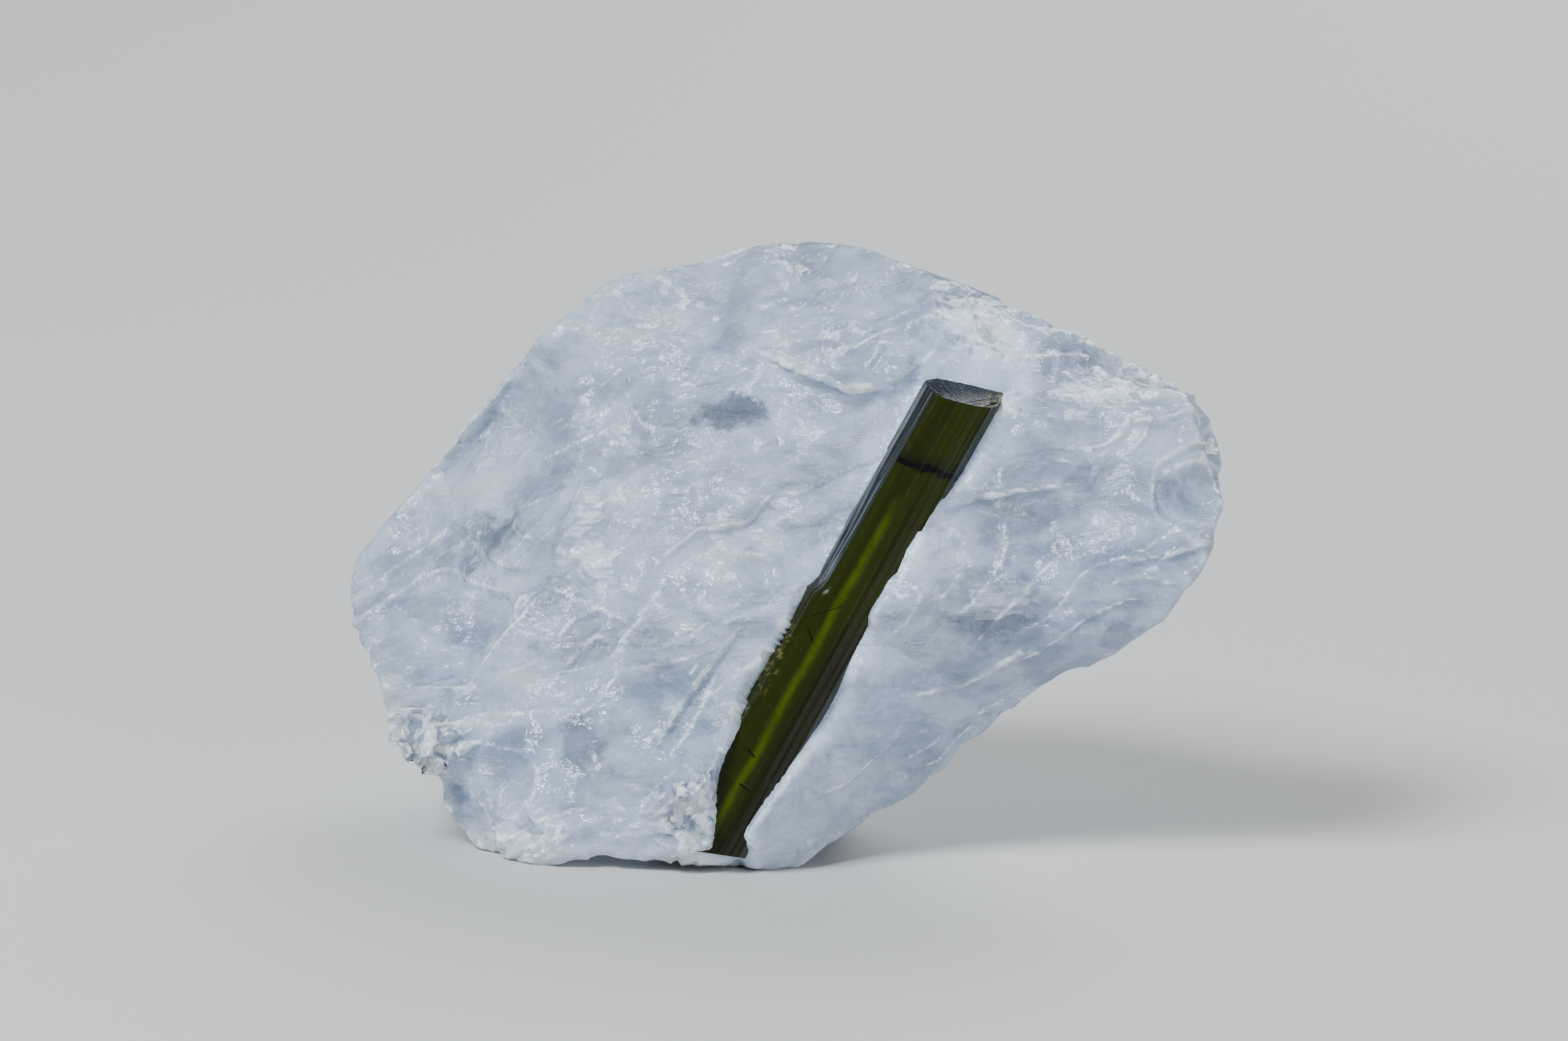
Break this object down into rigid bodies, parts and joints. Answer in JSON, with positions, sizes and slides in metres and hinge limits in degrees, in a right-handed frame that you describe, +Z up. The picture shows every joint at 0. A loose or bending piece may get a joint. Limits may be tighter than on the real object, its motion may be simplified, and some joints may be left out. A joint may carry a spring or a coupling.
{
  "type": "tourmaline crystal in quartz specimen",
  "caption": "Broken chunk of milky quartz standing on its lower edge, with a slender dark green tourmaline prism set slantwise in its front face.",
  "frame": {"origin": "middle of the specimen's footprint, on the surface it stands on", "axes": "+X along the specimen's longest side, to the right as seen from the face that shows the crystal; +Y towards the hidden back; +Z up"},
  "size_m": [0.0426, 0.0232, 0.0286],
  "materials": {
    "quartz": "translucent milky white, broken faces",
    "tourmaline": "glossy dark olive green, striated"
  },
  "bodies": {
    "root": {"quartz_matrix": "quartz", "tourmaline_crystal": "tourmaline"}
  },
  "joints": []
}
